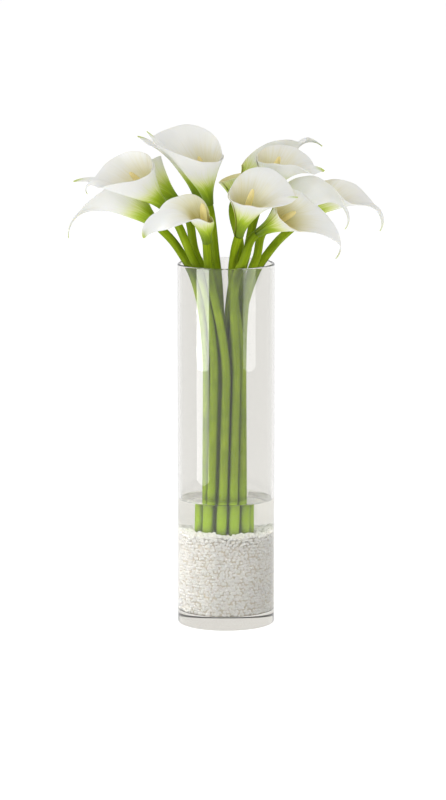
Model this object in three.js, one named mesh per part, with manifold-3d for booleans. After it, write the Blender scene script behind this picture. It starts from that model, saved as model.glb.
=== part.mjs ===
// White calla lilies standing in a tall clear glass cylinder, with water over white gravel.
// Millimetres, +Z up, origin at the centre of the flat underside of the vase.
// The front of the arrangement looks along -Y.

import * as THREE from 'three';
import { mergeVertices } from 'three/addons/utils/BufferGeometryUtils.js';
import Module from 'manifold-3d';

const wasm = await Module();
wasm.setup();

// The vase
const VASE_HEIGHT = 450;
const VASE_RADIUS = 60;
const WALL = 3.5;
const FLOOR = 17;
const HEEL = 6;
const INNER_RADIUS = VASE_RADIUS - WALL;
const VASE_SIDES = 36;

// What stands in it
const TOUCH = 0.3;
const GRAVEL_TOP = 118;
const WATER_TOP = 156;
const STONE_DENT = 1.8;
const GRAVEL_EDGE = 3;
const GRAVEL_SIDES = 72;
const GRAVEL_RINGS = 17;
const GRAVEL_CIRCLES = 6;

// The stems: a bundle of an outer and an inner ring, wider on the left, slightly twisted up to the waist
const STEM_RADIUS = 5.3;
const STEM_SIDES = 7;
const STEM_STEPS = 15;
const FOOT_Z = 84;
const WAIST_Z = 300;
const RIM_Z = 452;
const OUTER_RING = 20.5;
const WIDE_RING = 24.5;
const INNER_RING = 7.3;
const TWIST = 16;

// The spathe: one rolled leaf around the flower's axis
const BLADE = 0.8;
const NECK_RADIUS = 5.1;
const SPIRAL = 0.9;
const TUBE_ANGLE = [7, 24];
const TUBE_LENGTH = 38;
const TAIL_WIDTH = 3.5;
// Degrees from the tip round to the margin: bunched at the tip, even at the neck
const RIM_ANGLES = [0, 2, 9, 24, 48, 82, 124, 164, 196];
const NECK_ANGLES = [0, 24, 48, 72, 95, 118, 141, 164, 196];
const SPATHE_ROWS = [0, 0.16, 0.32, 0.48, 0.63, 0.77, 0.89, 1];
const SUBSTEPS = 8;

// The spadix: a knobbly finger
const SPADIX_RADIUS = 3.7;
const SPADIX_SIDES = 7;
const SPADIX_RINGS = 8;
const KNOB = 0.25;

// One row for each flower. neck is where the spathe begins on the stem. lean is the axis's angle
// from upright, toward its compass direction and tip that of the spathe's tip, in degrees
// anticlockwise from +X. long and flare are the length and end angle of the spathe at its tip,
// left, right and front. droop is how far the tip bends over, and along what length.
// shoulder is the half width, in degrees, of the part that runs out to the tip, left and right.
// tail is the length of the thread at the tip, and finger that of the spadix. ring and slot place
// the stem in the bundle, and rim is where it passes the rim of the vase.
const FLOWERS = {
  a: { neck: [-80, -25, 495], lean: 50, toward: 165, tip: 180, ring: WIDE_RING, slot: 198,
    rim: [-48, -11], long: [138, 80, 74, 58], flare: [30, 4, 50, 35], droop: [112, 66],
    shoulder: [48, 20], tail: 36, finger: 70 },
  b: { neck: [-73, -30, 520], lean: 48, toward: 215, tip: 178, ring: WIDE_RING, slot: 234,
    rim: [-37, -29], long: [124, 92, 84, 68], flare: [35, 5, 45, 38], droop: [140, 38],
    shoulder: [40, 54], tail: 28, finger: 72 },
  c: { neck: [-57, 18, 519], lean: 47, toward: 170, tip: 182, ring: WIDE_RING, slot: 162,
    rim: [-34, 10], long: [136, 75, 75, 64], flare: [46, 60, 60, 32], droop: [25, 34],
    shoulder: [24, 24], tail: 28, finger: 60 },
  d: { neck: [-33, 24, 522], lean: 12, toward: 165, tip: 180, ring: OUTER_RING, slot: 126,
    rim: [-14, 17], long: [112, 76, 84, 60], flare: [54, 45, 45, 40], droop: [15, 30],
    shoulder: [34, 34], tail: 12, finger: 60 },
  e: { neck: [-21, -25, 525], lean: 25, toward: 245, tip: 172, ring: INNER_RING, slot: 210,
    rim: [-12, -18], long: [122, 86, 98, 68], flare: [44, 8, 55, 34], droop: [0, 30],
    shoulder: [54, 54], tail: 12, finger: 68 },
  f: { neck: [-24, -55, 482], lean: 34, toward: 262, tip: 207, ring: OUTER_RING, slot: 270,
    rim: [-22, -42], long: [138, 44, 66, 36], flare: [104, 10, 50, -25], droop: [92, 90],
    shoulder: [46, 32], tail: 34, finger: 62 },
  g: { neck: [15, -58, 490], lean: 30, toward: 300, tip: 356, ring: OUTER_RING, slot: 342,
    rim: [8, -30], long: [96, 92, 64, 60], flare: [76, 60, 28, 45], droop: [10, 30],
    shoulder: [58, 28], tail: 6, finger: 70 },
  h: { neck: [41, 0, 523], lean: 28, toward: 320, tip: 0, ring: INNER_RING, slot: 330,
    rim: [23, 7], long: [98, 77, 78, 60], flare: [84, 50, 25, 40], droop: [30, 30],
    shoulder: [74, 34], tail: 14, finger: 68 },
  i: { neck: [14, 47, 528], lean: 34, toward: 10, tip: 0, ring: INNER_RING, slot: 90,
    rim: [15, 21], long: [126, 88, 84, 36], flare: [-30, 20, 20, 40], droop: [130, 32],
    shoulder: [84, 84], tail: 14, finger: 60 },
  k: { neck: [19, 84, 504], lean: 13, toward: 180, tip: 20, ring: OUTER_RING, slot: 90,
    rim: [13, 42], long: [58, 48, 48, 44], flare: [30, 35, 35, 35], droop: [0, 30],
    shoulder: [24, 24], tail: 10, finger: 36 },
  l: { neck: [38, -50, 492], lean: 61, toward: 328, tip: 0, ring: OUTER_RING, slot: 306,
    rim: [18, -46], long: [150, 76, 62, 50], flare: [20, 60, 10, 30], droop: [140, 106],
    shoulder: [38, 20], tail: 34, finger: 62},
  m: { neck: [49, -5, 494], lean: 44, toward: 15, tip: 0, ring: OUTER_RING, slot: 15,
    rim: [35, -12], long: [138, 100, 92, 52], flare: [44, 12, 15, 20], droop: [138, 60],
    shoulder: [44, 34], tail: 28, finger: 68 },
  n: { neck: [92, 70, 493], lean: 50, toward: 8, tip: 2, ring: OUTER_RING, slot: 54,
    rim: [46, 16], long: [134, 90, 64, 54], flare: [48, 12, 45, 18], droop: [121, 56],
    shoulder: [42, 24], tail: 28, finger: 46 },
};

const material = (color, roughness, metalness = 0) => (
  new THREE.MeshStandardMaterial({ color, roughness, metalness })
);
const radians = THREE.MathUtils.degToRad;
const step = (x) => THREE.MathUtils.smoothstep(x, 0, 1);
const mix = THREE.MathUtils.lerp;

// A seeded draw between 0 and 1
function draws(seed) {
  let state = seed;
  return () => {
    state = (state * 1664525 + 1013904223) % 4294967296;
    return state / 4294967296;
  };
}

// The flower's own frame: its axis, the way to its tip, and the way to its left
function frameOf(flower) {
  const lean = radians(flower.lean);
  const toward = radians(flower.toward);
  const tip = radians(flower.tip);
  const axis = new THREE.Vector3(
    Math.sin(lean) * Math.cos(toward), Math.sin(lean) * Math.sin(toward), Math.cos(lean),
  );
  const ahead = new THREE.Vector3(Math.cos(tip), Math.sin(tip), 0);
  ahead.addScaledVector(axis, -ahead.dot(axis)).normalize();
  return { axis, ahead, left: axis.clone().cross(ahead), neck: new THREE.Vector3(...flower.neck) };
}

// A value round the spathe, eased from tip to side and from side to front
function around(angle, [tip, left, right, front]) {
  const turn = Math.abs(angle);
  const side = angle >= 0 ? left : right;
  if (turn < 80) return mix(tip, side, step(turn / 60));
  return mix(side, front, step((turn - 95) / 75));
}

// How long the leaf is along the line that ends at this angle of the rim
function lengthAt(angle, { long, shoulder, tail }) {
  const turn = Math.abs(angle);
  const side = angle >= 0 ? long[1] : long[2];
  const body = mix(side, long[3], step((turn - 60) / 110));
  const width = angle >= 0 ? shoulder[0] : shoulder[1];
  const blade = (long[0] - tail - side) * Math.exp(-((turn / width) ** 1.6));
  return body + blade + tail * Math.exp(-turn / TAIL_WIDTH);
}

// Points of one line of the leaf, from the neck out to the rim
function leafLine(flower, frame, rimAngle, neckAngle) {
  const length = lengthAt(rimAngle, flower);
  const end = around(rimAngle, flower.flare);
  const begin = length * mix(0.45, 0.62, step((Math.abs(rimAngle) - 10) / 70));
  const [droop, reach] = flower.droop;
  const direction = (run) => {
    const tube = mix(...TUBE_ANGLE, step(run / TUBE_LENGTH));
    const roll = THREE.MathUtils.clamp((run - begin) / (length - begin), 0, 1) ** 1.4;
    const bend = THREE.MathUtils.clamp((run - flower.long[0]) / reach + 1, 0, 1);
    return radians(mix(tube, end, roll) + droop * bend);
  };
  const points = [];
  let out = NECK_RADIUS;
  let up = TOUCH;
  SPATHE_ROWS.forEach((row, index) => {
    const before = index ? SPATHE_ROWS[index - 1] : 0;
    const part = ((row - before) * length) / SUBSTEPS;
    for (let k = 0; k < SUBSTEPS; k += 1) {
      const psi = direction(before * length + (k + 0.5) * part);
      out += Math.sin(psi) * part;
      up += Math.cos(psi) * part;
    }
    const psi = direction(row * length);
    const turn = radians(mix(neckAngle, rimAngle, step(row * 1.4)));
    const lift = SPIRAL * (neckAngle / NECK_ANGLES.at(-1));
    const radius = out + lift * Math.cos(psi);
    points.push(frame.neck.clone()
      .addScaledVector(frame.axis, up - lift * Math.sin(psi))
      .addScaledVector(frame.ahead, radius * Math.cos(turn))
      .addScaledVector(frame.left, radius * Math.sin(turn)));
  });
  return points;
}

// A thin closed solid from a grid of points: both faces split alike, and its edges closed
function sheetSolid(lines, thickness) {
  const columns = lines.length;
  const rows = lines[0].length;
  const at = (i, j) => lines[THREE.MathUtils.clamp(i, 0, columns - 1)][THREE.MathUtils.clamp(j, 0, rows - 1)];
  const positions = [];
  for (const side of [0.5, -0.5]) {
    for (let i = 0; i < columns; i += 1) {
      for (let j = 0; j < rows; j += 1) {
        const across = at(i + 1, j).clone().sub(at(i - 1, j));
        const along = at(i, j + 1).clone().sub(at(i, j - 1));
        const normal = along.cross(across).normalize();
        positions.push(...at(i, j).clone().addScaledVector(normal, side * thickness).toArray());
      }
    }
  }
  const shift = columns * rows;
  const faces = [];
  const quad = (a, b, c, d) => faces.push(a, b, c, a, c, d);
  for (let i = 0; i < columns - 1; i += 1) {
    for (let j = 0; j < rows - 1; j += 1) {
      const a = i * rows + j;
      const [b, c, d] = [a + 1, a + 1 + rows, a + rows];
      faces.push(a, b, c, a, c, d);
      faces.push(a + shift, c + shift, b + shift, a + shift, d + shift, c + shift);
    }
  }
  for (let i = 0; i < columns - 1; i += 1) {
    const [near, next] = [i * rows, (i + 1) * rows];
    const [far, last] = [near + rows - 1, next + rows - 1];
    quad(near, next, next + shift, near + shift);
    quad(last, far, far + shift, last + shift);
  }
  for (let j = 0; j < rows - 1; j += 1) {
    const other = (columns - 1) * rows + j;
    quad(j + 1, j, j + shift, j + 1 + shift);
    quad(other, other + 1, other + 1 + shift, other + shift);
  }
  const geometry = new THREE.BufferGeometry();
  geometry.setAttribute('position', new THREE.Float32BufferAttribute(positions, 3));
  geometry.setIndex(faces);
  return geometry;
}

function spathe(flower) {
  const frame = frameOf(flower);
  const count = RIM_ANGLES.length - 1;
  const lines = [];
  for (let i = -count; i <= count; i += 1) {
    const sign = Math.sign(i);
    const rank = Math.abs(i);
    lines.push(leafLine(flower, frame, sign * RIM_ANGLES[rank], sign * NECK_ANGLES[rank]));
  }
  return sheetSolid(lines, BLADE);
}

// The stem's course: straight from foot to waist, then over the rim and up into the neck
class StemCourse extends THREE.Curve {
  constructor(flower) {
    super();
    const { axis, neck } = frameOf(flower);
    const inRing = (turn, z) => new THREE.Vector3(
      flower.ring * Math.cos(radians(turn)), flower.ring * Math.sin(radians(turn)), z,
    );
    const foot = inRing(flower.slot - TWIST, FOOT_Z);
    const waist = inRing(flower.slot, WAIST_Z);
    const rim = new THREE.Vector3(...flower.rim, RIM_Z);
    const rise = waist.clone().sub(foot).normalize();
    const over = neck.clone().sub(waist).normalize().add(axis).normalize();
    const reach = neck.distanceTo(rim) * 0.4;
    this.pieces = [
      new THREE.LineCurve3(foot, waist),
      new THREE.CubicBezierCurve3(waist, waist.clone().addScaledVector(rise, 60),
        rim.clone().addScaledVector(over, -34), rim),
      new THREE.CubicBezierCurve3(rim, rim.clone().addScaledVector(over, reach),
        neck.clone().addScaledVector(axis, -reach), neck),
    ];
    this.lengths = this.pieces.map((piece) => piece.getLength());
  }

  getPoint(t, target = new THREE.Vector3()) {
    const total = this.lengths.reduce((sum, length) => sum + length);
    let run = t * total;
    let index = 0;
    while (index < 2 && run > this.lengths[index]) {
      run -= this.lengths[index];
      index += 1;
    }
    return target.copy(this.pieces[index].getPoint(Math.min(run / this.lengths[index], 1)));
  }
}

function disc(radius, sides) {
  const shape = new THREE.Shape();
  for (let k = 0; k < sides; k += 1) {
    const turn = (k * 2 * Math.PI) / sides;
    if (k) shape.lineTo(radius * Math.cos(turn), radius * Math.sin(turn));
    else shape.moveTo(radius, 0);
  }
  return shape;
}

function stem(flower, radius = STEM_RADIUS) {
  return new THREE.ExtrudeGeometry(disc(radius, STEM_SIDES), {
    steps: STEM_STEPS, bevelEnabled: false, extrudePath: new StemCourse(flower),
  });
}

// The spadix stands on the end of the stem, inside the tube of the spathe
function spadix(flower) {
  const tall = flower.finger;
  const profile = [new THREE.Vector2(0, 0)];
  for (let k = 0; k <= SPADIX_RINGS; k += 1) {
    const share = k / SPADIX_RINGS;
    const taper = Math.sqrt(Math.max(0, 1 - ((share - 0.55) / 0.5) ** 4));
    const radius = share < 0.55 ? mix(2.4, SPADIX_RADIUS, step(share / 0.4)) : SPADIX_RADIUS * taper;
    profile.push(new THREE.Vector2(radius, share * tall * 0.985));
  }
  profile.push(new THREE.Vector2(0, tall));
  const geometry = new THREE.LatheGeometry(profile, SPADIX_SIDES);
  const position = geometry.attributes.position;
  for (let k = 0; k < position.count; k += 1) {
    const column = Math.floor(k / profile.length) % SPADIX_SIDES;
    const row = k % profile.length;
    const radius = Math.hypot(position.getX(k), position.getZ(k));
    if (radius > 2 * KNOB) {
      const factor = 1 + (KNOB / radius) * ((column * 3 + row) % 2 ? 1 : -1);
      position.setX(k, position.getX(k) * factor);
      position.setZ(k, position.getZ(k) * factor);
    }
  }
  const { axis, neck } = frameOf(flower);
  geometry.applyQuaternion(new THREE.Quaternion().setFromUnitVectors(new THREE.Vector3(0, 1, 0), axis));
  const seat = neck.clone().addScaledVector(axis, TOUCH);
  return geometry.translate(seat.x, seat.y, seat.z);
}

function vase() {
  const profile = [
    [0, 0], [VASE_RADIUS - HEEL, 0], [VASE_RADIUS - HEEL / 2, HEEL * 0.14],
    [VASE_RADIUS - HEEL * 0.14, HEEL / 2], [VASE_RADIUS, HEEL],
    [VASE_RADIUS, VASE_HEIGHT - 1], [VASE_RADIUS - 1, VASE_HEIGHT],
    [INNER_RADIUS + 1, VASE_HEIGHT], [INNER_RADIUS, VASE_HEIGHT - 1],
    [INNER_RADIUS, FLOOR + 3], [INNER_RADIUS - 3, FLOOR], [0, FLOOR],
  ].map(([x, y]) => new THREE.Vector2(x, y));
  return new THREE.LatheGeometry(profile, VASE_SIDES).rotateX(Math.PI / 2);
}

// The faceted circle inside the glass is a little narrower across its flats
const FILL_RADIUS = INNER_RADIUS * Math.cos(Math.PI / VASE_SIDES) - TOUCH;

function water() {
  const profile = [
    [0, GRAVEL_TOP + TOUCH], [FILL_RADIUS, GRAVEL_TOP + TOUCH], [FILL_RADIUS, WATER_TOP], [0, WATER_TOP],
  ].map(([x, y]) => new THREE.Vector2(x, y));
  return new THREE.LatheGeometry(profile, VASE_SIDES).rotateX(Math.PI / 2);
}

// The bed of stones, larger than life: every other point of its side lies proud like a stone,
// those between are dented, and its top is uneven
function gravel() {
  const draw = draws(7);
  const low = FLOOR + TOUCH;
  const foot = low + GRAVEL_EDGE;
  const profile = [[0, low], [FILL_RADIUS - GRAVEL_EDGE, low]];
  for (let k = 0; k <= GRAVEL_RINGS; k += 1) {
    profile.push([FILL_RADIUS, mix(foot, GRAVEL_TOP, k / GRAVEL_RINGS)]);
  }
  for (let k = GRAVEL_CIRCLES - 1; k >= 0; k -= 1) {
    profile.push([(FILL_RADIUS * k) / GRAVEL_CIRCLES, GRAVEL_TOP]);
  }
  const outline = profile.map(([x, y]) => new THREE.Vector2(x, y));
  const geometry = merged(new THREE.LatheGeometry(outline, GRAVEL_SIDES).rotateX(Math.PI / 2));
  const position = geometry.attributes.position;
  for (let k = 0; k < position.count; k += 1) {
    const [x, y, z] = [position.getX(k), position.getY(k), position.getZ(k)];
    const radius = Math.hypot(x, y);
    if (z > low + 1 && radius > FILL_RADIUS - 1) {
      const column = Math.round((Math.atan2(y, x) * GRAVEL_SIDES) / (2 * Math.PI));
      const row = Math.round(((z - foot) * GRAVEL_RINGS) / (GRAVEL_TOP - foot));
      const hollow = (column + row) % 2 !== 0;
      const dent = STONE_DENT * (hollow ? 1 + 0.3 * draw() : 0.2 * draw());
      const factor = 1 - dent / radius;
      position.setXY(k, x * factor, y * factor);
    }
    if (z > GRAVEL_TOP - 1) position.setZ(k, z - draw() * STONE_DENT * 2);
  }
  return geometry;
}

function merged(geometry) {
  const copy = geometry.clone();
  copy.deleteAttribute('normal');
  copy.deleteAttribute('uv');
  return mergeVertices(copy, 1e-3);
}

function solidOf(geometry) {
  const clean = merged(geometry);
  return new wasm.Manifold(new wasm.Mesh({
    numProp: 3,
    vertProperties: new Float32Array(clean.attributes.position.array),
    triVerts: new Uint32Array(clean.index.array),
  }));
}

// Plain holes where the stems stand
function withStemHoles(geometry) {
  let solid = solidOf(geometry);
  for (const flower of Object.values(FLOWERS)) {
    const course = new StemCourse(flower).pieces[0];
    const rise = course.v2.clone().sub(course.v1).normalize();
    const low = course.v1.clone().addScaledVector(rise, -TOUCH);
    const high = course.v1.clone().addScaledVector(rise, WATER_TOP);
    const hole = new THREE.ExtrudeGeometry(disc(STEM_RADIUS + TOUCH, STEM_SIDES), {
      steps: 1, bevelEnabled: false, extrudePath: new THREE.LineCurve3(low, high),
    });
    solid = solid.subtract(solidOf(hole));
  }
  const mesh = solid.getMesh();
  const result = new THREE.BufferGeometry();
  result.setAttribute('position', new THREE.BufferAttribute(new Float32Array(mesh.vertProperties), 3));
  result.setIndex(new THREE.BufferAttribute(new Uint32Array(mesh.triVerts), 1));
  return result;
}

const arrangement = new THREE.Group();

function add(name, geometry, finish) {
  const mesh = new THREE.Mesh(geometry, finish);
  mesh.name = name;
  arrangement.add(mesh);
}

add('vase', vase(), material('#dfe3e2', 0.05));
add('water', withStemHoles(water()), material('#dfe8e6', 0.02));
add('gravel', withStemHoles(gravel()), material('#e4e0dc', 0.7));
for (const [name, flower] of Object.entries(FLOWERS)) {
  add(`stem_${name}`, stem(flower), material('#7a9a2c', 0.45));
  add(`spathe_${name}`, spathe(flower), material('#f3f2ec', 0.4));
  add(`spadix_${name}`, spadix(flower), material('#e8cf74', 0.6));
}

export default arrangement;
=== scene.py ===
import math
import random

import bmesh
import bpy
from mathutils import Matrix, Vector, geometry, noise


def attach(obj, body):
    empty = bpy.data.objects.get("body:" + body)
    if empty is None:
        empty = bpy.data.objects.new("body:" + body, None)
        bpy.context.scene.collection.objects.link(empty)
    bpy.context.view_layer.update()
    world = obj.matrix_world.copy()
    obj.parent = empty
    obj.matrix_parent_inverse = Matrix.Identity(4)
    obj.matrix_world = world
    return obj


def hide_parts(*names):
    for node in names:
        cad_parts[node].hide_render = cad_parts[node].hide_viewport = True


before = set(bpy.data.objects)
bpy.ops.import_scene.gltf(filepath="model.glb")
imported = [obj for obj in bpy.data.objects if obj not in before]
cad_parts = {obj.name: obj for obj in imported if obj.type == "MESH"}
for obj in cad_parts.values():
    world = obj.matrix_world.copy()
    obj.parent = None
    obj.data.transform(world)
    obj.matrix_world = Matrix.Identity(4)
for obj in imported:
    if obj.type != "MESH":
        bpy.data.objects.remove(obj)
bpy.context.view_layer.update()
print("frame nodes:", len(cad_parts))

# %% [markdown]
# # Calla lilies in a tall glass cylinder
# The arrangement has three kinds of thing to make. The vase and its water are turned forms, so each
# is a profile spun round the axis. The gravel is a great many small stones, so each is a rough ball
# with its own tilt. The flowers are one rolled leaf each, on a bent stem. One rule draws the leaf,
# and a table of sizes makes every flower its own. Everything is in metres, but a florist and a
# glassmaker think in millimetres, so the sizes are written in those and scaled once.

# %% Units and small helpers
MM = 0.001
CREASE = 50
CREATED = []


def smooth(x):
    """0 below 0, 1 above 1, eased between."""
    x = min(max(x, 0.0), 1.0)
    return x * x * (3 - 2 * x)


def mix(a, b, share):
    return a + (b - a) * share


def linear(hex_colour):
    """An sRGB hex colour as the linear red, green, blue and alpha that shaders use."""
    values = [int(hex_colour[k:k + 2], 16) / 255 for k in (1, 3, 5)]
    steps = [v / 12.92 if v <= 0.04045 else ((v + 0.055) / 1.055) ** 2.4 for v in values]
    return (*steps, 1.0)


def new_material(name):
    """A material with only its output, for the nodes to be added to."""
    material = bpy.data.materials.new(name)
    material.use_nodes = True
    tree = material.node_tree
    tree.nodes.clear()
    return material, tree


def add_node(tree, kind, inputs=None, stops=(), **settings):
    """Adds a node. inputs are values or links by name or number, stops are those of a ramp."""
    node = tree.nodes.new(kind)
    for key, value in settings.items():
        setattr(node, key, value)
    for key, value in (inputs or {}).items():
        if isinstance(value, bpy.types.NodeSocket):
            tree.links.new(value, node.inputs[key])
        else:
            node.inputs[key].default_value = value
    for k, (place, colour) in enumerate(stops):
        elements = node.color_ramp.elements
        element = elements[k] if k < 2 else elements.new(place)
        element.position, element.color = place, linear(colour)
    return node


def keep_piece(name, bm, material, slot_name, *nodes):
    """Turns a bmesh into a finished piece that stands for CAD nodes. Corners over CREASE stay sharp."""
    mesh = bpy.data.meshes.new(name)
    bm.to_mesh(mesh)
    bm.free()
    mesh.shade_smooth()
    mesh.set_sharp_from_angle(angle=math.radians(CREASE))
    mesh.materials.append(material)
    piece = bpy.data.objects.new(name, mesh)
    bpy.context.scene.collection.objects.link(piece)
    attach(piece, "root")
    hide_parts(*nodes)
    CREATED.append(piece)
    return piece


def spun(profile, steps):
    """A closed turned form from (radius, height) points in millimetres, both ends on the axis."""
    bm = bmesh.new()
    verts = [bm.verts.new((x * MM, 0, z * MM)) for x, z in profile]
    edges = [bm.edges.new(pair) for pair in zip(verts, verts[1:])]
    bmesh.ops.spin(bm, geom=verts + edges, cent=(0, 0, 0), axis=(0, 0, 1), angle=math.tau,
                   steps=steps, use_merge=True)
    bmesh.ops.remove_doubles(bm, verts=bm.verts, dist=0.01 * MM)
    bmesh.ops.recalc_face_normals(bm, faces=bm.faces)
    return bm


def arc(cx, cz, radius, first, last, count):
    """Points of an arc in a profile, angles in degrees."""
    turns = [math.radians(mix(first, last, k / count)) for k in range(count + 1)]
    return [(cx + radius * math.cos(t), cz + radius * math.sin(t)) for t in turns]


print("helpers ready")

# %% [markdown]
# ## Glass and water
# The vase is soda-lime glass, blown into a straight mould and fire-polished at the rim. It could be
# a see-through shell, but then the stems would not jump aside at the water line and the base would
# not gather its grey streaks. So it is a solid wall of real thickness that refracts. Light for the
# shadows goes straight through, so that the stems inside are not left in the dark. Where light runs
# a long way through the thick base, the glass shows a faint warm grey.

# %% Materials of the vase
SODA_LIME_IOR = 1.5
WATER_IOR = 1.333
FLOOR = 17.0
THICK_GLASS = 0.97 * FLOOR


def clear_material(name, thin, thick, ior):
    """A see-through solid: its colour across a wall, and along the thick base."""
    material, tree = new_material(name)
    coords = add_node(tree, "ShaderNodeTexCoord")
    place = add_node(tree, "ShaderNodeSeparateXYZ", {"Vector": coords.outputs["Object"]})
    base = add_node(tree, "ShaderNodeMath", {0: place.outputs["Z"], 1: THICK_GLASS * MM},
                    operation="LESS_THAN")
    colour = add_node(tree, "ShaderNodeMix", {0: base.outputs[0], 6: linear(thin),
                      7: linear(thick)}, data_type="RGBA")
    shader = add_node(tree, "ShaderNodeBsdfPrincipled", {
        "Base Color": colour.outputs[2], "Roughness": 0.0, "IOR": ior,
        "Transmission Weight": 1.0})
    film = add_node(tree, "ShaderNodeBsdfTransparent")
    path = add_node(tree, "ShaderNodeLightPath")
    both = add_node(tree, "ShaderNodeMixShader", {
        0: path.outputs["Is Shadow Ray"], 1: shader.outputs[0], 2: film.outputs[0]})
    add_node(tree, "ShaderNodeOutputMaterial", {"Surface": both.outputs[0]})
    return material


polished_glass = clear_material("blown_soda_lime_glass", "#ecebe8", "#d8d5ce", SODA_LIME_IOR)
still_water = clear_material("still_water", "#fdfdfa", "#fdfdfa", WATER_IOR)
print("glass and water ready")

# %% [markdown]
# The wall is 3.5 mm thick and the base 17 mm, because a tall cylinder needs a heavy foot. The rim
# is a small half round where the flame melted the cut edge. Smooth shading blends the facing of
# neighbouring faces, and glass shows the least error as a dark wedge. So each straight stretch has
# one more point, HOLD away from every rounded corner, which keeps the blend inside the corner.

# %% The glass cylinder
OUTER, WALL, TALL, HEEL = 60.0, 3.5, 450.0, 2.0
INNER = OUTER - WALL
INNER_HEEL = 1.2
RIM = WALL / 2
HOLD = 0.4
TURNED_SIDES = 128

walls = [FLOOR + INNER_HEEL + HOLD, 150, 300, TALL - RIM - HOLD]

vase_profile = (
    [(0, 0), (OUTER - HEEL - HOLD, 0)]
    + arc(OUTER - HEEL, HEEL, HEEL, -90, 0, 8)
    + [(OUTER, z) for z in walls]
    + arc(OUTER - RIM, TALL - RIM, RIM, 0, 180, 10)
    + [(INNER, z) for z in reversed(walls)]
    + arc(INNER - INNER_HEEL, FLOOR + INNER_HEEL, INNER_HEEL, 0, -90, 6)
    + [(INNER - INNER_HEEL - HOLD, FLOOR), (0, FLOOR)]
)
vase = keep_piece("glass_cylinder", spun(vase_profile, TURNED_SIDES), polished_glass, "glass",
                  "vase")
print("glass faces:", len(vase.data.polygons))

# %% [markdown]
# The water fills the space between the stones as well, so it reaches down to the glass floor. Its
# side lies a hair inside the glass: light then bends once from glass to water, with no air between.
# At the wall the surface climbs about a millimetre, which draws the fine line round the water.

# %% The water
WATER_TOP = 156.0
OVERLAP = 0.25
CLIMB, CLIMB_LIP, CLIMB_WIDTH = 1.2, 0.5, 4
wet = INNER + OVERLAP
climb_steps = (0.15, 0.35, 0.6, 1.0)

water_profile = (
    [(0, FLOOR - OVERLAP), (INNER - INNER_HEEL - HOLD, FLOOR - OVERLAP)]
    + arc(INNER - INNER_HEEL, FLOOR + INNER_HEEL, INNER_HEEL + OVERLAP, -90, 0, 6)
    + [(wet, z) for z in (FLOOR + INNER_HEEL + HOLD, 90)]
    + [(wet, WATER_TOP + CLIMB), (wet - CLIMB_LIP, WATER_TOP + CLIMB)]
    + [(wet - CLIMB_LIP - CLIMB_WIDTH * t, WATER_TOP + CLIMB * (1 - t) ** 3) for t in climb_steps]
    + [(0, WATER_TOP)]
)
water = keep_piece("water", spun(water_profile, TURNED_SIDES), still_water, "water", "water")
print("water faces:", len(water.data.polygons))

# %% [markdown]
# ## The flowers' table
# Each flower is described the way a florist would place it: where its spathe begins, how far its
# axis leans and to which side, and where the tip of the leaf points. Lengths and end angles are
# given for the tip, the left, the right and the front of the leaf, in millimetres and degrees.
# Droop is how far the tip bends on and over what length, shoulder how wide the tip's blade is on
# each side, tail its thin end and finger the spadix. Ring and slot place the stem in the bundle,
# and rim is where it passes the height of the glass rim.

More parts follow.
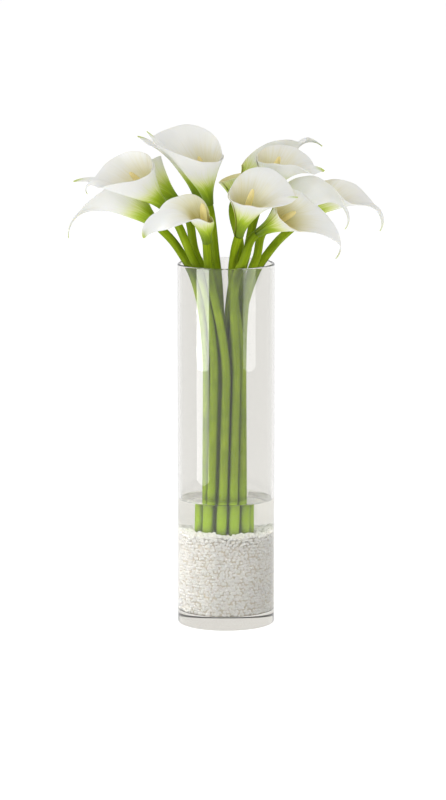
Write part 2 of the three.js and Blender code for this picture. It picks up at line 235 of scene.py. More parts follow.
# %% Sizes of every flower
OUTER_RING, WIDE_RING, INNER_RING, TWIST = 20.5, 24.5, 7.3, 16
FOOT_Z, WAIST_Z, RIM_Z = 84, 300, 452
FLOWERS = {
    "a": dict(neck=(-80, -25, 495), lean=50, toward=165, tip=180, ring=WIDE_RING, slot=198,
              rim=(-48, -11), long=(138, 80, 74, 58), flare=(30, 4, 50, 35), droop=(112, 66),
              shoulder=(48, 20), tail=36, finger=70),
    "b": dict(neck=(-73, -30, 520), lean=48, toward=215, tip=178, ring=WIDE_RING, slot=234,
              rim=(-37, -29), long=(124, 92, 84, 68), flare=(35, 5, 45, 38), droop=(140, 38),
              shoulder=(40, 54), tail=28, finger=72),
    "c": dict(neck=(-57, 18, 519), lean=47, toward=170, tip=182, ring=WIDE_RING, slot=162,
              rim=(-34, 10), long=(136, 75, 75, 64), flare=(46, 60, 60, 32), droop=(25, 34),
              shoulder=(24, 24), tail=28, finger=60),
    "d": dict(neck=(-33, 24, 522), lean=12, toward=165, tip=180, ring=OUTER_RING, slot=126,
              rim=(-14, 17), long=(112, 76, 84, 60), flare=(54, 45, 45, 40), droop=(15, 30),
              shoulder=(34, 34), tail=12, finger=60),
    "e": dict(neck=(-21, -25, 525), lean=25, toward=245, tip=172, ring=INNER_RING, slot=210,
              rim=(-12, -18), long=(122, 86, 98, 68), flare=(44, 8, 55, 34), droop=(0, 30),
              shoulder=(54, 54), tail=12, finger=68),
    "f": dict(neck=(-24, -55, 482), lean=34, toward=262, tip=207, ring=OUTER_RING, slot=270,
              rim=(-22, -42), long=(138, 44, 66, 36), flare=(104, 10, 50, -25), droop=(92, 90),
              shoulder=(46, 32), tail=34, finger=62),
    "g": dict(neck=(15, -58, 490), lean=30, toward=300, tip=356, ring=OUTER_RING, slot=342,
              rim=(8, -30), long=(96, 92, 64, 60), flare=(76, 60, 28, 45), droop=(10, 30),
              shoulder=(58, 28), tail=6, finger=70),
    "h": dict(neck=(41, 0, 523), lean=28, toward=320, tip=0, ring=INNER_RING, slot=330,
              rim=(23, 7), long=(98, 77, 78, 60), flare=(84, 50, 25, 40), droop=(30, 30),
              shoulder=(74, 34), tail=14, finger=68),
    "i": dict(neck=(14, 47, 528), lean=34, toward=10, tip=0, ring=INNER_RING, slot=90,
              rim=(15, 21), long=(126, 88, 84, 36), flare=(-30, 20, 20, 40), droop=(130, 32),
              shoulder=(84, 84), tail=14, finger=60),
    "k": dict(neck=(19, 84, 504), lean=13, toward=180, tip=20, ring=OUTER_RING, slot=90,
              rim=(13, 42), long=(58, 48, 48, 44), flare=(30, 35, 35, 35), droop=(0, 30),
              shoulder=(24, 24), tail=10, finger=36),
    "l": dict(neck=(38, -50, 492), lean=61, toward=328, tip=0, ring=OUTER_RING, slot=306,
              rim=(18, -46), long=(150, 76, 62, 50), flare=(20, 60, 10, 30), droop=(140, 106),
              shoulder=(38, 20), tail=34, finger=62),
    "m": dict(neck=(49, -5, 494), lean=44, toward=15, tip=0, ring=OUTER_RING, slot=15,
              rim=(35, -12), long=(138, 100, 92, 52), flare=(44, 12, 15, 20), droop=(138, 60),
              shoulder=(44, 34), tail=28, finger=68),
    "n": dict(neck=(92, 70, 493), lean=50, toward=8, tip=2, ring=OUTER_RING, slot=54,
              rim=(46, 16), long=(134, 90, 64, 54), flare=(48, 12, 45, 18), droop=(121, 56),
              shoulder=(42, 24), tail=28, finger=46),
}


def flower_frame(flower):
    """The flower's axis, the way to its tip, and the way to its left."""
    lean, toward, tip = (math.radians(flower[key]) for key in ("lean", "toward", "tip"))
    axis = Vector((math.sin(lean) * math.cos(toward), math.sin(lean) * math.sin(toward),
                   math.cos(lean)))
    ahead = Vector((math.cos(tip), math.sin(tip), 0))
    ahead = (ahead - axis * ahead.dot(axis)).normalized()
    return axis, ahead, axis.cross(ahead)


print("flowers:", " ".join(FLOWERS))

# %% [markdown]
# ## One leaf rolled into a cup
# A calla's flower is a single leaf, the spathe, rolled round a yellow finger. It could be drawn as a
# cone and pulled about, but a leaf has lines of growth that run from its neck out to its rim. So a
# flat grid is laid along such lines: each line leaves the neck as a narrow tube, opens, and rolls
# over at its end. The lines near the tip are longer and end in a thin tail. The two margins overlap
# at the front, one a little outside the other. Two soft noises lift the leaf: waves of any shape,
# and folds that run along the lines. Both take the place round the neck, so they meet at the seam.

# %% The rule that draws a leaf
NECK_RADIUS, NECK_GAP, SPIRAL = 5.1, 0.3, 0.9
TUBE_ANGLE, TUBE_LENGTH = (7, 24), 38
TAIL_WIDTH = 3.5
WRAP = 196
COLUMNS, ROWS, SUBSTEPS = 96, 42, 3
BLADE = 0.9
WAVE, WAVES, WAVE_RUN = 1.8, 1.7, 60
FOLD, FOLDS, FOLD_LENGTH, FOLD_RUN = 2.6, 2.2, 160, 70
SMOOTH_NECK = 25
TIP_WIDTH = 12


def around(angle, values):
    """A value round the spathe, eased from tip to side and from side to front."""
    tip, left, right, front = values
    turn = abs(angle)
    side = left if angle >= 0 else right
    if turn < 80:
        return mix(tip, side, smooth(turn / 60))
    return mix(side, front, smooth((turn - 95) / 75))


def line_length(angle, flower):
    """How long the leaf is along the line that ends at this angle of the rim."""
    turn = abs(angle)
    long, tail = flower["long"], flower["tail"]
    side = long[1] if angle >= 0 else long[2]
    width = flower["shoulder"][0 if angle >= 0 else 1]
    body = mix(side, long[3], smooth((turn - 60) / 110))
    blade = (long[0] - tail - side) * math.exp(-((turn / width) ** 1.6))
    return body + blade + tail * math.exp(-turn / TAIL_WIDTH)


def leaf_line(flower, share):
    """Points of one line: share runs from -1 at the right margin, over the tip, to 1 at the left."""
    axis, ahead, left = flower_frame(flower)
    neck_angle = WRAP * share
    rim_angle = WRAP * abs(share) * share
    length = line_length(rim_angle, flower)
    end = around(rim_angle, flower["flare"])
    begin = length * mix(0.45, 0.62, smooth((abs(rim_angle) - 10) / 70))
    droop, reach = flower["droop"]

    def direction(run):
        tube = mix(*TUBE_ANGLE, smooth(run / TUBE_LENGTH))
        roll = min(max((run - begin) / (length - begin), 0), 1) ** 1.4
        bend = min(max((run - flower["long"][0]) / reach + 1, 0), 1)
        return math.radians(mix(tube, end, roll) + droop * bend)

    points, out, up = [], NECK_RADIUS, NECK_GAP
    part = length / (ROWS * SUBSTEPS)
    for row in range(ROWS + 1):
        run = row * SUBSTEPS * part
        psi = direction(run)
        turn = math.radians(mix(neck_angle, rim_angle, smooth(1.4 * row / ROWS)))
        place = Vector((math.cos(turn), math.sin(turn), flower["slot"]))
        wave = WAVE * smooth((run - SMOOTH_NECK) / WAVE_RUN) * noise.noise(place * WAVES)
        ridge = Vector((FOLDS * math.cos(turn), FOLDS * math.sin(turn),
                        flower["slot"] + run / FOLD_LENGTH))
        fold = FOLD * smooth((run - SMOOTH_NECK) / FOLD_RUN) * noise.noise(ridge)
        lift = SPIRAL * share + wave + fold
        radius, height = out + lift * math.cos(psi), up - lift * math.sin(psi)
        spot = (Vector(flower["neck"]) + axis * height
                + ahead * (radius * math.cos(turn)) + left * (radius * math.sin(turn)))
        points.append((spot * MM, neck_angle, run, smooth((run - length + 16) / 14)))
        for k in range(SUBSTEPS):
            middle = direction(run + (k + 0.5) * part)
            out += math.sin(middle) * part
            up += math.cos(middle) * part
    return points


def rolled_leaf(flower):
    """The spathe as a thin closed leaf, with its growth lines kept as attributes."""
    bm = bmesh.new()
    bmesh.ops.create_grid(bm, x_segments=COLUMNS, y_segments=ROWS, size=1)
    course = bm.verts.layers.float_vector.new("leaf")
    inner = bm.verts.layers.float.new("inner")
    lines = [leaf_line(flower, 2 * k / COLUMNS - 1) for k in range(COLUMNS + 1)]
    for vert in bm.verts:
        column = round((vert.co.x + 1) * COLUMNS / 2)
        row = round((vert.co.y + 1) * ROWS / 2)
        spot, angle, run, ending = lines[column][row]
        vert.co = spot
        vert[course] = (angle, run, ending * math.exp(-(angle / TIP_WIDTH) ** 2))
        vert[inner] = 0.0
    bm.normal_update()
    first = set(bm.verts)
    bmesh.ops.solidify(bm, geom=bm.faces[:], thickness=BLADE * MM)
    for vert in bm.verts:
        if vert not in first:
            vert[inner] = 1.0
    bmesh.ops.recalc_face_normals(bm, faces=bm.faces)
    return bm


print("leaf rule ready")

# %% [markdown]
# The spathe's skin is waxy white over soft flesh, so light soaks in a little and the gloss is low
# and wide. It is green where it grows out of the stem, runs through lime to white along its veins,
# and is creamy yellow deep in the throat. The thin tail at its tip is green again. All of it
# follows the growth lines that were kept with the mesh.

# %% The waxy petal
def petal_material():
    material, tree = new_material("waxy_white_spathe")
    leaf = add_node(tree, "ShaderNodeAttribute", attribute_name="leaf")
    inner = add_node(tree, "ShaderNodeAttribute", attribute_name="inner")
    parts = add_node(tree, "ShaderNodeSeparateXYZ", {"Vector": leaf.outputs["Vector"]})
    angle, run, tip = (parts.outputs[k] for k in range(3))

    # Veins lie about three degrees apart and run the whole length; the clouds are broader
    vein_place = add_node(tree, "ShaderNodeMapping", {
        "Vector": leaf.outputs["Vector"], "Scale": (0.33, 0.02, 0)})
    veins = add_node(tree, "ShaderNodeTexNoise", {
        "Vector": vein_place.outputs["Vector"], "Scale": 1.0, "Detail": 3.0, "Roughness": 0.6})
    cloud_place = add_node(tree, "ShaderNodeMapping", {
        "Vector": leaf.outputs["Vector"], "Scale": (0.03, 0.02, 0)})
    clouds = add_node(tree, "ShaderNodeTexNoise", {
        "Vector": cloud_place.outputs["Vector"], "Scale": 1.0, "Detail": 2.0})

    # Millimetres from the neck, shifted along the veins so that the green frays out
    streak = add_node(tree, "ShaderNodeMath", {0: veins.outputs["Fac"], 1: 34.0, 2: run},
                      operation="MULTIPLY_ADD")
    reach = add_node(tree, "ShaderNodeMath", {
        0: clouds.outputs["Fac"], 1: 16.0, 2: streak.outputs[0]}, operation="MULTIPLY_ADD")
    share = add_node(tree, "ShaderNodeMapRange", {
        "Value": reach.outputs[0], "From Min": 25.0, "From Max": 89.0})
    outside = add_node(tree, "ShaderNodeValToRGB", {"Fac": share.outputs[0]}, stops=(
        (0.0, "#5f7602"), (0.25, "#7f9a06"), (0.45, "#aac22c"), (0.62, "#d6de92"),
        (0.8, "#e7e9d4"), (1.0, "#ebebe6")))
    depth = add_node(tree, "ShaderNodeMapRange", {
        "Value": reach.outputs[0], "From Min": 25.0, "From Max": 110.0})
    throat = add_node(tree, "ShaderNodeValToRGB", {"Fac": depth.outputs[0]}, stops=(
        (0.0, "#9a9534"), (0.3, "#beb56a"), (0.5, "#d9d3a8"), (0.68, "#e5e1cc"),
        (0.85, "#ebeae2"), (1.0, "#eeeeea")))

    # The midrib shows outside as a faint yellow-green line
    aside = add_node(tree, "ShaderNodeMath", {0: angle}, operation="ABSOLUTE")
    rib = add_node(tree, "ShaderNodeMapRange", {
        "Value": aside.outputs[0], "From Max": 9.0, "To Min": 0.35, "To Max": 0.0})
    ribbed = add_node(tree, "ShaderNodeMix", {
        0: rib.outputs[0], 6: outside.outputs["Color"], 7: linear("#ccd67a")}, data_type="RGBA")
    skin = add_node(tree, "ShaderNodeMix", {
        0: inner.outputs["Fac"], 6: ribbed.outputs[2], 7: throat.outputs["Color"]},
        data_type="RGBA")
    tipped = add_node(tree, "ShaderNodeMix", {
        0: tip, 6: skin.outputs[2], 7: linear("#b1c25a")}, data_type="RGBA")

    bump = add_node(tree, "ShaderNodeBump", {
        "Height": veins.outputs["Fac"], "Strength": 0.25, "Distance": 0.4 * MM})
    shader = add_node(tree, "ShaderNodeBsdfPrincipled", {
        "Base Color": tipped.outputs[2], "Normal": bump.outputs["Normal"], "Roughness": 0.42,
        "IOR": 1.42, "Specular IOR Level": 0.25, "Subsurface Weight": 0.6,
        "Subsurface Radius": (1.0, 0.9, 0.7), "Subsurface Scale": 3.0 * MM})
    add_node(tree, "ShaderNodeOutputMaterial", {"Surface": shader.outputs["BSDF"]})
    return material


waxy_petal = petal_material()
for name, flower in FLOWERS.items():
    keep_piece(f"petal_{name}", rolled_leaf(flower), waxy_petal, "spathe", f"spathe_{name}")
print("faces of one spathe:", len(CREATED[-1].data.polygons))

# %% [markdown]
# ## Stems
# A calla's stem is smooth, fleshy and as thick as a finger's end. It stands nearly straight in the
# water and bends over the rim under the weight of its flower. A curve with a round bevel would do,
# but a grid wrapped into a tube keeps the place along the stem, which the fine streaks need.

# %% Tubes along a path
STEM_RADIUS = 5.3
STEM_TAPER = (1.06, 0.97)
RIDGE, RIDGES = 0.06, 7
STEM_SIDES, STEM_ROWS = 20, 90


def stem_path(flower):
    """The stem's middle line: straight from foot to waist, then over the rim into the neck."""
    axis = flower_frame(flower)[0]
    neck = Vector(flower["neck"])

    def in_ring(turn, z):
        turn = math.radians(turn)
        return Vector((flower["ring"] * math.cos(turn), flower["ring"] * math.sin(turn), z))

    foot, waist = in_ring(flower["slot"] - TWIST, FOOT_Z), in_ring(flower["slot"], WAIST_Z)
    rim = Vector((*flower["rim"], RIM_Z))
    rise = (waist - foot).normalized()
    over = ((neck - waist).normalized() + axis).normalized()
    reach = (neck - rim).length * 0.4
    line = [foot.lerp(waist, k / 20) for k in range(20)]
    line += geometry.interpolate_bezier(waist, waist + rise * 60, rim - over * 34, rim, 30)[:-1]
    line += geometry.interpolate_bezier(rim, rim + over * reach, neck - axis * reach, neck, 24)
    return line


def evenly(line, count):
    """The same line as count + 1 points, evenly spaced."""
    runs = [0.0]
    for a, b in zip(line, line[1:]):
        runs.append(runs[-1] + (b - a).length)
    result, k = [], 0
    for step in range(count + 1):
        run = runs[-1] * step / count
        while k < len(line) - 2 and runs[k + 1] < run:
            k += 1
        share = (run - runs[k]) / (runs[k + 1] - runs[k])
        result.append(line[k].lerp(line[k + 1], min(share, 1)))
    return result, runs[-1]


def wrapped(line, columns, radius_at, name):
    """A grid wrapped round a line of points into a closed form. radius_at(share, turn) is in mm."""
    rows = len(line) - 1
    frames, side = [], Vector((1, 0, 0))
    for k, spot in enumerate(line):
        along = (line[min(k + 1, rows)] - line[max(k - 1, 0)]).normalized()
        side = (side - along * side.dot(along)).normalized()
        frames.append((spot, side, along.cross(side)))
    bm = bmesh.new()
    bmesh.ops.create_grid(bm, x_segments=columns, y_segments=rows, size=1)
    course = bm.verts.layers.float_vector.new(name)
    for vert in bm.verts:
        turn = math.pi * (vert.co.x + 1)
        row = round((vert.co.y + 1) * rows / 2)
        spot, side, across = frames[row]
        radius = radius_at(row / rows, turn)
        vert.co = (spot + (side * math.cos(turn) + across * math.sin(turn)) * radius) * MM
        vert[course] = (math.cos(turn), math.sin(turn), row / rows)
    bmesh.ops.remove_doubles(bm, verts=bm.verts, dist=0.005 * MM)
    bmesh.ops.recalc_face_normals(bm, faces=bm.faces)
    return bm


def stem_radius(share, turn):
    """A little stouter at the foot, with faint ridges, and closed flat at both ends."""
    if share in (0, 1):
        return 0.0
    return mix(*STEM_TAPER, share) * STEM_RADIUS + RIDGE * math.cos(RIDGES * turn)


print("path helpers ready")

# %% [markdown]
# The skin of the stem is a smooth grass green with paler streaks that run lengthwise, and a brighter
# green where it stands in water. The narrow gaps between the stems lie in deep shade, but this studio
# is white on every side and would light them too well. So that shade is painted in: a near-black
# green laid on by how enclosed each spot is.

# %% The stems
# How far the painted shade of the gaps looks for neighbouring stems, in millimetres
PAINTED_SHADE_REACH = 16


def stem_material():
    material, tree = new_material("fleshy_green_stem")
    course = add_node(tree, "ShaderNodeAttribute", attribute_name="course")
    # Streaks about half a millimetre wide and several centimetres long
    place = add_node(tree, "ShaderNodeMapping", {
        "Vector": course.outputs["Vector"], "Scale": (7.0, 7.0, 9.0)})
    streaks = add_node(tree, "ShaderNodeTexNoise", {
        "Vector": place.outputs["Vector"], "Scale": 1.0, "Detail": 4.0, "Roughness": 0.65})
    coords = add_node(tree, "ShaderNodeTexCoord")
    patches = add_node(tree, "ShaderNodeTexNoise", {
        "Vector": coords.outputs["Object"], "Scale": 28.0, "Detail": 2.0})
    tone = add_node(tree, "ShaderNodeMix", {
        0: 0.4, 2: streaks.outputs["Fac"], 3: patches.outputs["Fac"]})
    skin = add_node(tree, "ShaderNodeValToRGB", {"Fac": tone.outputs[0]}, stops=(
        (0.25, "#5c7004"), (0.46, "#7b930a"), (0.67, "#9cb318")))
    split = add_node(tree, "ShaderNodeSeparateXYZ", {"Vector": coords.outputs["Object"]})
    # A brighter, yellower green from a little below the water line downwards, set by height alone
    below_water_share = add_node(tree, "ShaderNodeMapRange", {
        "Value": split.outputs["Z"], "From Min": (WATER_TOP - 25) * MM,
        "From Max": (WATER_TOP + 40) * MM, "To Min": 0.9, "To Max": 0.0})
    skin_below_water = add_node(tree, "ShaderNodeMix", {
        0: below_water_share.outputs[0], 6: skin.outputs["Color"], 7: linear("#a8cc04")},
        data_type="RGBA")
    # Painted shade: a spot closed in by stems within a stem's breadth or so turns a near-black green
    nearness = add_node(tree, "ShaderNodeAmbientOcclusion", {"Distance": PAINTED_SHADE_REACH * MM}, samples=6)
    gap = add_node(tree, "ShaderNodeMapRange", {
        "Value": nearness.outputs["AO"], "From Min": 0.25, "From Max": 0.8,
        "To Min": 0.85, "To Max": 0.0})
    painted_shade_skin = add_node(tree, "ShaderNodeMix", {
        0: gap.outputs[0], 6: skin_below_water.outputs[2], 7: linear("#34430a")}, data_type="RGBA")
    bump = add_node(tree, "ShaderNodeBump", {
        "Height": streaks.outputs["Fac"], "Strength": 0.3, "Distance": 0.2 * MM})
    shader = add_node(tree, "ShaderNodeBsdfPrincipled", {
        "Base Color": painted_shade_skin.outputs[2], "Normal": bump.outputs["Normal"],
        "Roughness": 0.6, "IOR": 1.4, "Specular IOR Level": 0.1, "Subsurface Weight": 0.1,
        "Subsurface Radius": (0.9, 1.0, 0.2), "Subsurface Scale": 1.0 * MM})
    add_node(tree, "ShaderNodeOutputMaterial", {"Surface": shader.outputs["BSDF"]})
    return material


green_stem = stem_material()
for name, flower in FLOWERS.items():
    line, length = evenly(stem_path(flower), STEM_ROWS)
    ends = [line[0]] + line + [line[-1]]
    stem = wrapped(ends, STEM_SIDES, stem_radius, "course")
    keep_piece(f"stalk_{name}", stem, green_stem, "stem", f"stem_{name}")
    print(f"stalk_{name}: {length:.0f} mm long")

# %% [markdown]
# ## The yellow finger
# The spadix carries hundreds of tiny florets packed in crossing spirals. They could be a bump in
# the material, but on a finger seen against the light its grainy edge shows, so the grains are
# real: a fine grid swells at each floret, with every second row set half a floret on.

# %% The spadices
SPADIX_RADIUS = 4.0
FLORETS_AROUND = 14
FLORET = 1.5
GRAIN = 0.22
SPADIX_SIDES = 3 * FLORETS_AROUND


def spadix_material():
    material, tree = new_material("pollen_yellow_spadix")
    course = add_node(tree, "ShaderNodeAttribute", attribute_name="course")
    grain = add_node(tree, "ShaderNodeAttribute", attribute_name="grain")
    parts = add_node(tree, "ShaderNodeSeparateXYZ", {"Vector": course.outputs["Vector"]})
    coords = add_node(tree, "ShaderNodeTexCoord")
    dust = add_node(tree, "ShaderNodeTexNoise", {
        "Vector": coords.outputs["Object"], "Scale": 900.0, "Detail": 2.0})
    # Painted shade in the hollows between florets, a deeper yellow, and painted light on their crests
    tone = add_node(tree, "ShaderNodeMath", {
        0: dust.outputs["Fac"], 1: 0.35, 2: grain.outputs["Fac"]}, operation="MULTIPLY_ADD")
    skin = add_node(tree, "ShaderNodeValToRGB", {"Fac": tone.outputs[0]}, stops=(
        (0.1, "#dcc050"), (0.6, "#f8e68a"), (1.0, "#fdf5c6")))
    top = add_node(tree, "ShaderNodeMapRange", {
        "Value": parts.outputs["Z"], "From Min": 0.8, "To Max": 0.4})
    dusty = add_node(tree, "ShaderNodeMix", {
        0: top.outputs[0], 6: skin.outputs["Color"], 7: linear("#f0dba6")}, data_type="RGBA")
    shader = add_node(tree, "ShaderNodeBsdfPrincipled", {
        "Base Color": dusty.outputs[2], "Roughness": 0.7, "IOR": 1.4,
        "Subsurface Weight": 0.15, "Subsurface Radius": (1.0, 0.85, 0.3),
        "Subsurface Scale": 1.0 * MM})
    add_node(tree, "ShaderNodeOutputMaterial", {"Surface": shader.outputs["BSDF"]})
    return material


def finger(flower):
    """A closed finger from the neck up, its florets as swellings of a fine grid."""
    axis = flower_frame(flower)[0]
    tall = flower["finger"]
    rows = round(tall / FLORET) * 2
    seat = Vector(flower["neck"]) + axis * NECK_GAP
    line = [seat + axis * (tall * k / rows) for k in range(rows + 1)]

    def swelling(share, turn):
        row = share * rows / 2
        return math.cos(FLORETS_AROUND * turn + math.pi * math.floor(row)) * math.sin(
            math.pi * (row % 1))

    def radius_at(share, turn):
        body = mix(2.4, SPADIX_RADIUS, smooth(share / 0.4))
        taper = math.sqrt(max(0.0, 1 - (max(share - 0.5, 0) / 0.5) ** 4))
        return body * taper + GRAIN * swelling(share, turn) * taper if 0 < share < 1 else 0.0

    bm = wrapped(line, SPADIX_SIDES, radius_at, "course")
    # Each spot's height on its floret, kept for the painted shade in the hollows and the paler crests
    grain = bm.verts.layers.float.new("grain")
    course = bm.verts.layers.float_vector["course"]
    for vert in bm.verts:
        x, y, share = vert[course]
        vert[grain] = 0.5 + 0.5 * swelling(share, math.atan2(y, x))
    return bm


pollen_yellow = spadix_material()
for name, flower in FLOWERS.items():
    keep_piece(f"finger_{name}", finger(flower), pollen_yellow, "spadix", f"spadix_{name}")
print("faces of one spadix:", len(CREATED[-1].data.polygons))

# %% [markdown]
# ## White gravel
# The bed is washed white marble gravel, grains of four to five millimetres. A bumpy block would
# show no gaps or shadows, so the layer against the glass and the top layer are separate stones:
# each a small ball, squashed, turned and roughened. A core fills what no one sees. White marble lets
# light in a little way, which keeps the gaps between the stones pale. Both the random numbers and
# the noise that moves points are given a seed, or the stones would differ from run to run.

# %% Stones and their finish
STONE, ROUGHNESS, LUMPS = 2.35, 0.28, 420
GRAVEL_TOP = 118.0
HEAP = 60
SEED = 11
draw = random.Random(SEED)
noise.seed_set(SEED)


def gravel_material():
    material, tree = new_material("washed_white_marble_gravel")
    tone = add_node(tree, "ShaderNodeAttribute", attribute_name="tone")
    coords = add_node(tree, "ShaderNodeTexCoord")
    grain = add_node(tree, "ShaderNodeTexNoise", {
        "Vector": coords.outputs["Object"], "Scale": 700.0, "Detail": 4.0})
    # The sandy tan at the low end is the core's, painted shade for the gaps; stones draw tones at
    # random
    colour = add_node(tree, "ShaderNodeValToRGB", {"Fac": tone.outputs["Fac"]}, stops=(
        (0.0, "#dacdb6"), (0.12, "#e8e2d8"), (0.4, "#f2efeb"), (0.75, "#faf8f6"),
        (1.0, "#fefdfc")))
    share = add_node(tree, "ShaderNodeMath", {0: grain.outputs["Fac"], 1: 0.08},
                     operation="MULTIPLY")
    mottled = add_node(tree, "ShaderNodeMix", {
        0: share.outputs[0], 6: colour.outputs["Color"], 7: linear("#ded4c4")},
        data_type="RGBA")
    bump = add_node(tree, "ShaderNodeBump", {
        "Height": grain.outputs["Fac"], "Strength": 0.4, "Distance": 0.3 * MM})
    shader = add_node(tree, "ShaderNodeBsdfPrincipled", {
        "Base Color": mottled.outputs[2], "Normal": bump.outputs["Normal"], "Roughness": 0.5,
        "IOR": 1.5, "Subsurface Weight": 0.6, "Subsurface Radius": (1.0, 0.95, 0.85),
        "Subsurface Scale": 2.2 * MM})
    add_node(tree, "ShaderNodeOutputMaterial", {"Surface": shader.outputs["BSDF"]})
    return material


def stone(bm, tone, spot, size):
    """Adds one rough stone at a place in millimetres: a ball, squashed, turned and made lumpy."""
    turn = Matrix.Rotation(draw.uniform(0, math.tau), 4, Vector(
        (draw.uniform(-1, 1), draw.uniform(-1, 1), draw.uniform(-1, 1))).normalized())
    squash = Matrix.Diagonal((draw.uniform(0.85, 1.25), draw.uniform(0.78, 1.08),
                              draw.uniform(0.68, 0.95), 1))
    place = Matrix.Translation(spot * MM) @ turn @ squash
    made = bmesh.ops.create_icosphere(bm, subdivisions=2, radius=size * MM, matrix=place)
    shade = min(1.0, max(0.0, draw.gauss(0.78, 0.2)))
    for vert in made["verts"]:
        vert.co += noise.noise_vector(vert.co * LUMPS) * (size * ROUGHNESS * MM)
        vert[tone] = shade


def clear_of_stems(spot):
    """True if a stone here would not sit in a stem."""
    for foot, rise in STEM_LINES:
        gap = spot - foot
        if (gap - rise * gap.dot(rise)).length < STEM_RADIUS + STONE * 0.7:
            return False
    return True


def heap(spots):
    """A bmesh of stones, gathered from small heaps, because a small heap is quick to add to."""
    whole = bmesh.new()
    whole.verts.layers.float.new("tone")
    for start in range(0, len(spots), HEAP):
        small = bmesh.new()
        tone = small.verts.layers.float.new("tone")
        for spot, size in spots[start:start + HEAP]:
            stone(small, tone, spot, size)
        part = bpy.data.meshes.new("small_heap")
        small.to_mesh(part)
        small.free()
        whole.from_mesh(part)
        bpy.data.meshes.remove(part)
    return whole


STEM_LINES = []
for flower in FLOWERS.values():
    foot, waist = stem_path(flower)[0], stem_path(flower)[20]
    STEM_LINES.append((foot, (waist - foot).normalized()))


BED_DEPTH, BED_WAVE, BED_WAVES = 3.2, 3.0, 0.045


def level(x, y):
    """The uneven top of the bed."""
    return GRAVEL_TOP - BED_DEPTH + BED_WAVE * noise.noise(Vector((x, y, 5)) * BED_WAVES)


WALL_ROWS, WALL_COLUMNS = 25, 84
wall_spots = []
for row in range(WALL_ROWS + 1):
    for column in range(WALL_COLUMNS):
        size = STONE * draw.uniform(0.78, 1.2)
        turn = math.tau * (column + 0.5 * (row % 2) + draw.uniform(-0.3, 0.3)) / WALL_COLUMNS
        radius = INNER - 0.9 * size - draw.uniform(0.1, 0.7)
        x, y = radius * math.cos(turn), radius * math.sin(turn)
        z = mix(FLOOR + size, level(x, y), row / WALL_ROWS) + draw.uniform(-0.9, 0.9)
        wall_spots.append((Vector((x, y, max(z, FLOOR + 0.9 * size))), size))

TOP_STONES = 760
GOLDEN = math.pi * (3 - math.sqrt(5))
top_spots = []
for k in range(TOP_STONES):
    size = STONE * draw.uniform(0.8, 1.2)
    radius = (INNER - 3.5) * math.sqrt((k + 0.5) / TOP_STONES)
    turn = k * GOLDEN
    x, y = radius * math.cos(turn), radius * math.sin(turn)
    spot = Vector((x, y, level(x, y) + draw.uniform(-1.2, 1.0)))
    if clear_of_stems(spot):
        top_spots.append((spot, size))

white_gravel = gravel_material()
keep_piece("gravel_at_the_glass", heap(wall_spots), white_gravel, "gravel", "gravel")
keep_piece("gravel_on_top", heap(top_spots), white_gravel, "gravel", "gravel")
print("stones:", len(wall_spots) + len(top_spots))

# %% [markdown]
# The core is one turned form just behind the outer stones. Its sandy tan is painted shade: it gives
# the gaps between them the shade that real depth would.

# %% The core of the bed
CORE_GAP, CORE_EDGE, CORE_SIDES = 3.0, 2, 72
CORE_LOW, CORE_TOP = FLOOR + 0.6, GRAVEL_TOP - 6
# The core's low tone gives it a sandy tan, painted shade for the gaps between the stones
CORE_SWELL, CORE_LUMPS, CORE_SHADE_TONE = 0.8, 150, 0.04
core_profile = (
    [(0, CORE_LOW)]
    + [(INNER - CORE_GAP - CORE_EDGE, CORE_LOW)]
    + [(INNER - CORE_GAP, z) for z in range(22, 110, 8)]
    + [(INNER - CORE_GAP - CORE_EDGE, CORE_TOP - 1)]
    + [(r, CORE_TOP) for r in (40, 30, 20, 10)]
    + [(0, CORE_TOP)]
)
core = spun(core_profile, CORE_SIDES)
core_shade = core.verts.layers.float.new("tone")
for vert in core.verts:
    vert.co += noise.noise_vector(vert.co * CORE_LUMPS) * (CORE_SWELL * MM)
    vert[core_shade] = CORE_SHADE_TONE
keep_piece("gravel_core", core, white_gravel, "gravel", "gravel")

# %% [markdown]
# ## The studio
# The arrangement stands on a pale floor that curves up into a bright backdrop, which clear glass
# needs behind it. The floor is very wide, so that it lies behind the arrangement from every side.
# Two soft boxes at the sides and a wide one above shape the flowers. What lights a petal well would
# burn out in the glass, so the two jobs are parted: the soft boxes are not mirrored, and three
# white cards give no light and are only mirrored. They draw the long white bands on the cylinder.

# %% Floor, backdrop and lights
FLOOR_FRONT, FLOOR_RUN, FLOOR_SIDE = -13.5, 34, 27
BEND_START, BEND_RADIUS = 5.4, 3.6
UNDER_THE_GLASS = 0.4


def sweep_floor():
    """A floor that curves up behind, as one bent sheet, in metres."""
    bm = bmesh.new()
    bmesh.ops.create_grid(bm, x_segments=2, y_segments=60, size=1)
    for vert in bm.verts:
        run = (vert.co.y + 1) / 2 * FLOOR_RUN + FLOOR_FRONT
        if run < BEND_START:
            y, z = run, 0.0
        else:
            turn = min((run - BEND_START) / BEND_RADIUS, math.pi / 2)
            y = BEND_START + BEND_RADIUS * math.sin(turn)
            z = BEND_RADIUS * (1 - math.cos(turn)) + max(
                0.0, run - BEND_START - BEND_RADIUS * math.pi / 2)
        vert.co = (vert.co.x * FLOOR_SIDE, y, z - UNDER_THE_GLASS * MM)
    mesh = bpy.data.meshes.new("studio_floor")
    bm.to_mesh(mesh)
    bm.free()
    mesh.shade_smooth()
    floor = bpy.data.objects.new("studio_floor", mesh)
    bpy.context.scene.collection.objects.link(floor)
    material, tree = new_material("white_studio_paper")
    shader = add_node(tree, "ShaderNodeBsdfPrincipled", {
        "Base Color": linear("#a0a0a0"), "Roughness": 0.9, "Specular IOR Level": 0.1,
        "Emission Color": linear("#ffffff"), "Emission Strength": 0.84})
    add_node(tree, "ShaderNodeOutputMaterial", {"Surface": shader.outputs["BSDF"]})
    mesh.materials.append(material)


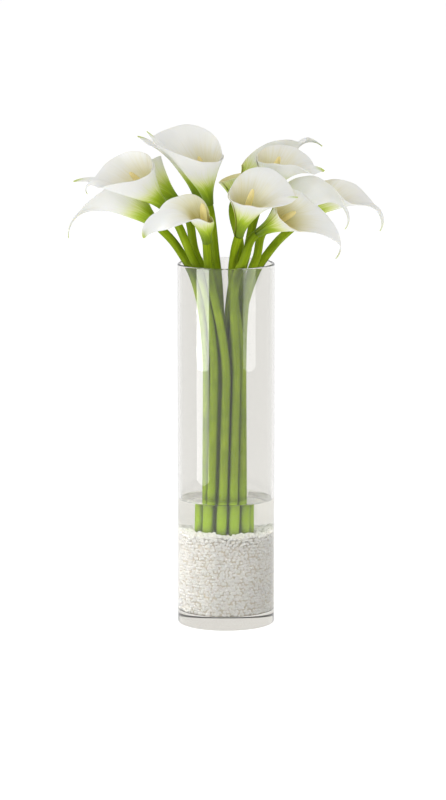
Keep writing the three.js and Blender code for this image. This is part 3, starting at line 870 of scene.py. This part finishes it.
def soft_box(name, place, target, size, power, lights=True, mirrors=True):
    """A rectangular soft light that faces a point. It can only light, or only be mirrored."""
    light = bpy.data.lights.new(name, "AREA")
    light.shape = "RECTANGLE"
    light.size, light.size_y = size
    light.energy = power
    lamp = bpy.data.objects.new(name, light)
    aim = Vector(target) - Vector(place)
    lamp.matrix_world = (Matrix.Translation(place)
                         @ aim.to_track_quat("-Z", "Y").to_matrix().to_4x4())
    lamp.visible_diffuse = lamp.visible_transmission = lights
    lamp.visible_glossy = mirrors
    bpy.context.scene.collection.objects.link(lamp)


sweep_floor()
soft_box("strip_left", (-0.91, -0.62, 0.98), (0, 0, 0.98), (0.75, 1.16), 3.7, mirrors=False)
soft_box("strip_right", (0.91, -0.62, 0.98), (0, 0, 0.98), (0.75, 1.16), 3.4, mirrors=False)
soft_box("card_left", (-0.86, -0.58, 0.74), (0, 0, 0.74), (0.6, 1.14), 24.0, lights=False)
soft_box("card_low", (-0.86, -0.58, 0.085), (0, 0, 0.085), (0.6, 0.17), 1.4, lights=False)
soft_box("card_right", (0.86, -0.58, 0.74), (0, 0, 0.74), (0.6, 1.14), 7.0, lights=False)
soft_box("overhead", (-0.4, -1.2, 2.0), (0, 0, 0.4), (1.5, 1.5), 11.0, mirrors=False)

world = bpy.data.worlds.new("studio_air")
world.use_nodes = True
world.node_tree.nodes["Background"].inputs["Color"].default_value = linear("#ffffff")
world.node_tree.nodes["Background"].inputs["Strength"].default_value = 0.3
bpy.context.scene.world = world
bpy.context.scene.view_settings.view_transform = "Standard"
bpy.context.scene.cycles.max_bounces = 24
bpy.context.scene.cycles.transmission_bounces = 24
print("studio ready")

# %% [markdown]
# The photo was taken with a long lens from a little above, so the rim and the water line are thin
# ellipses and nothing is stretched by perspective.

# %% The camera
camera_data = bpy.data.cameras.new("camera")
camera_data.lens = 181.9
camera_data.sensor_width = 36.0
camera_data.clip_end = 50.0
camera = bpy.data.objects.new("camera", camera_data)
camera.location = (-0.0038, -4.9357, 1.0784)
camera.rotation_euler = (math.radians(80.8), 0, 0)
bpy.context.scene.collection.objects.link(camera)
bpy.context.scene.camera = camera

# %% Sizes, then the end
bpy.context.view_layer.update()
triangles = sum(len(p.data.loops) - 2 * len(p.data.polygons) for p in CREATED)
print("triangles added:", triangles)
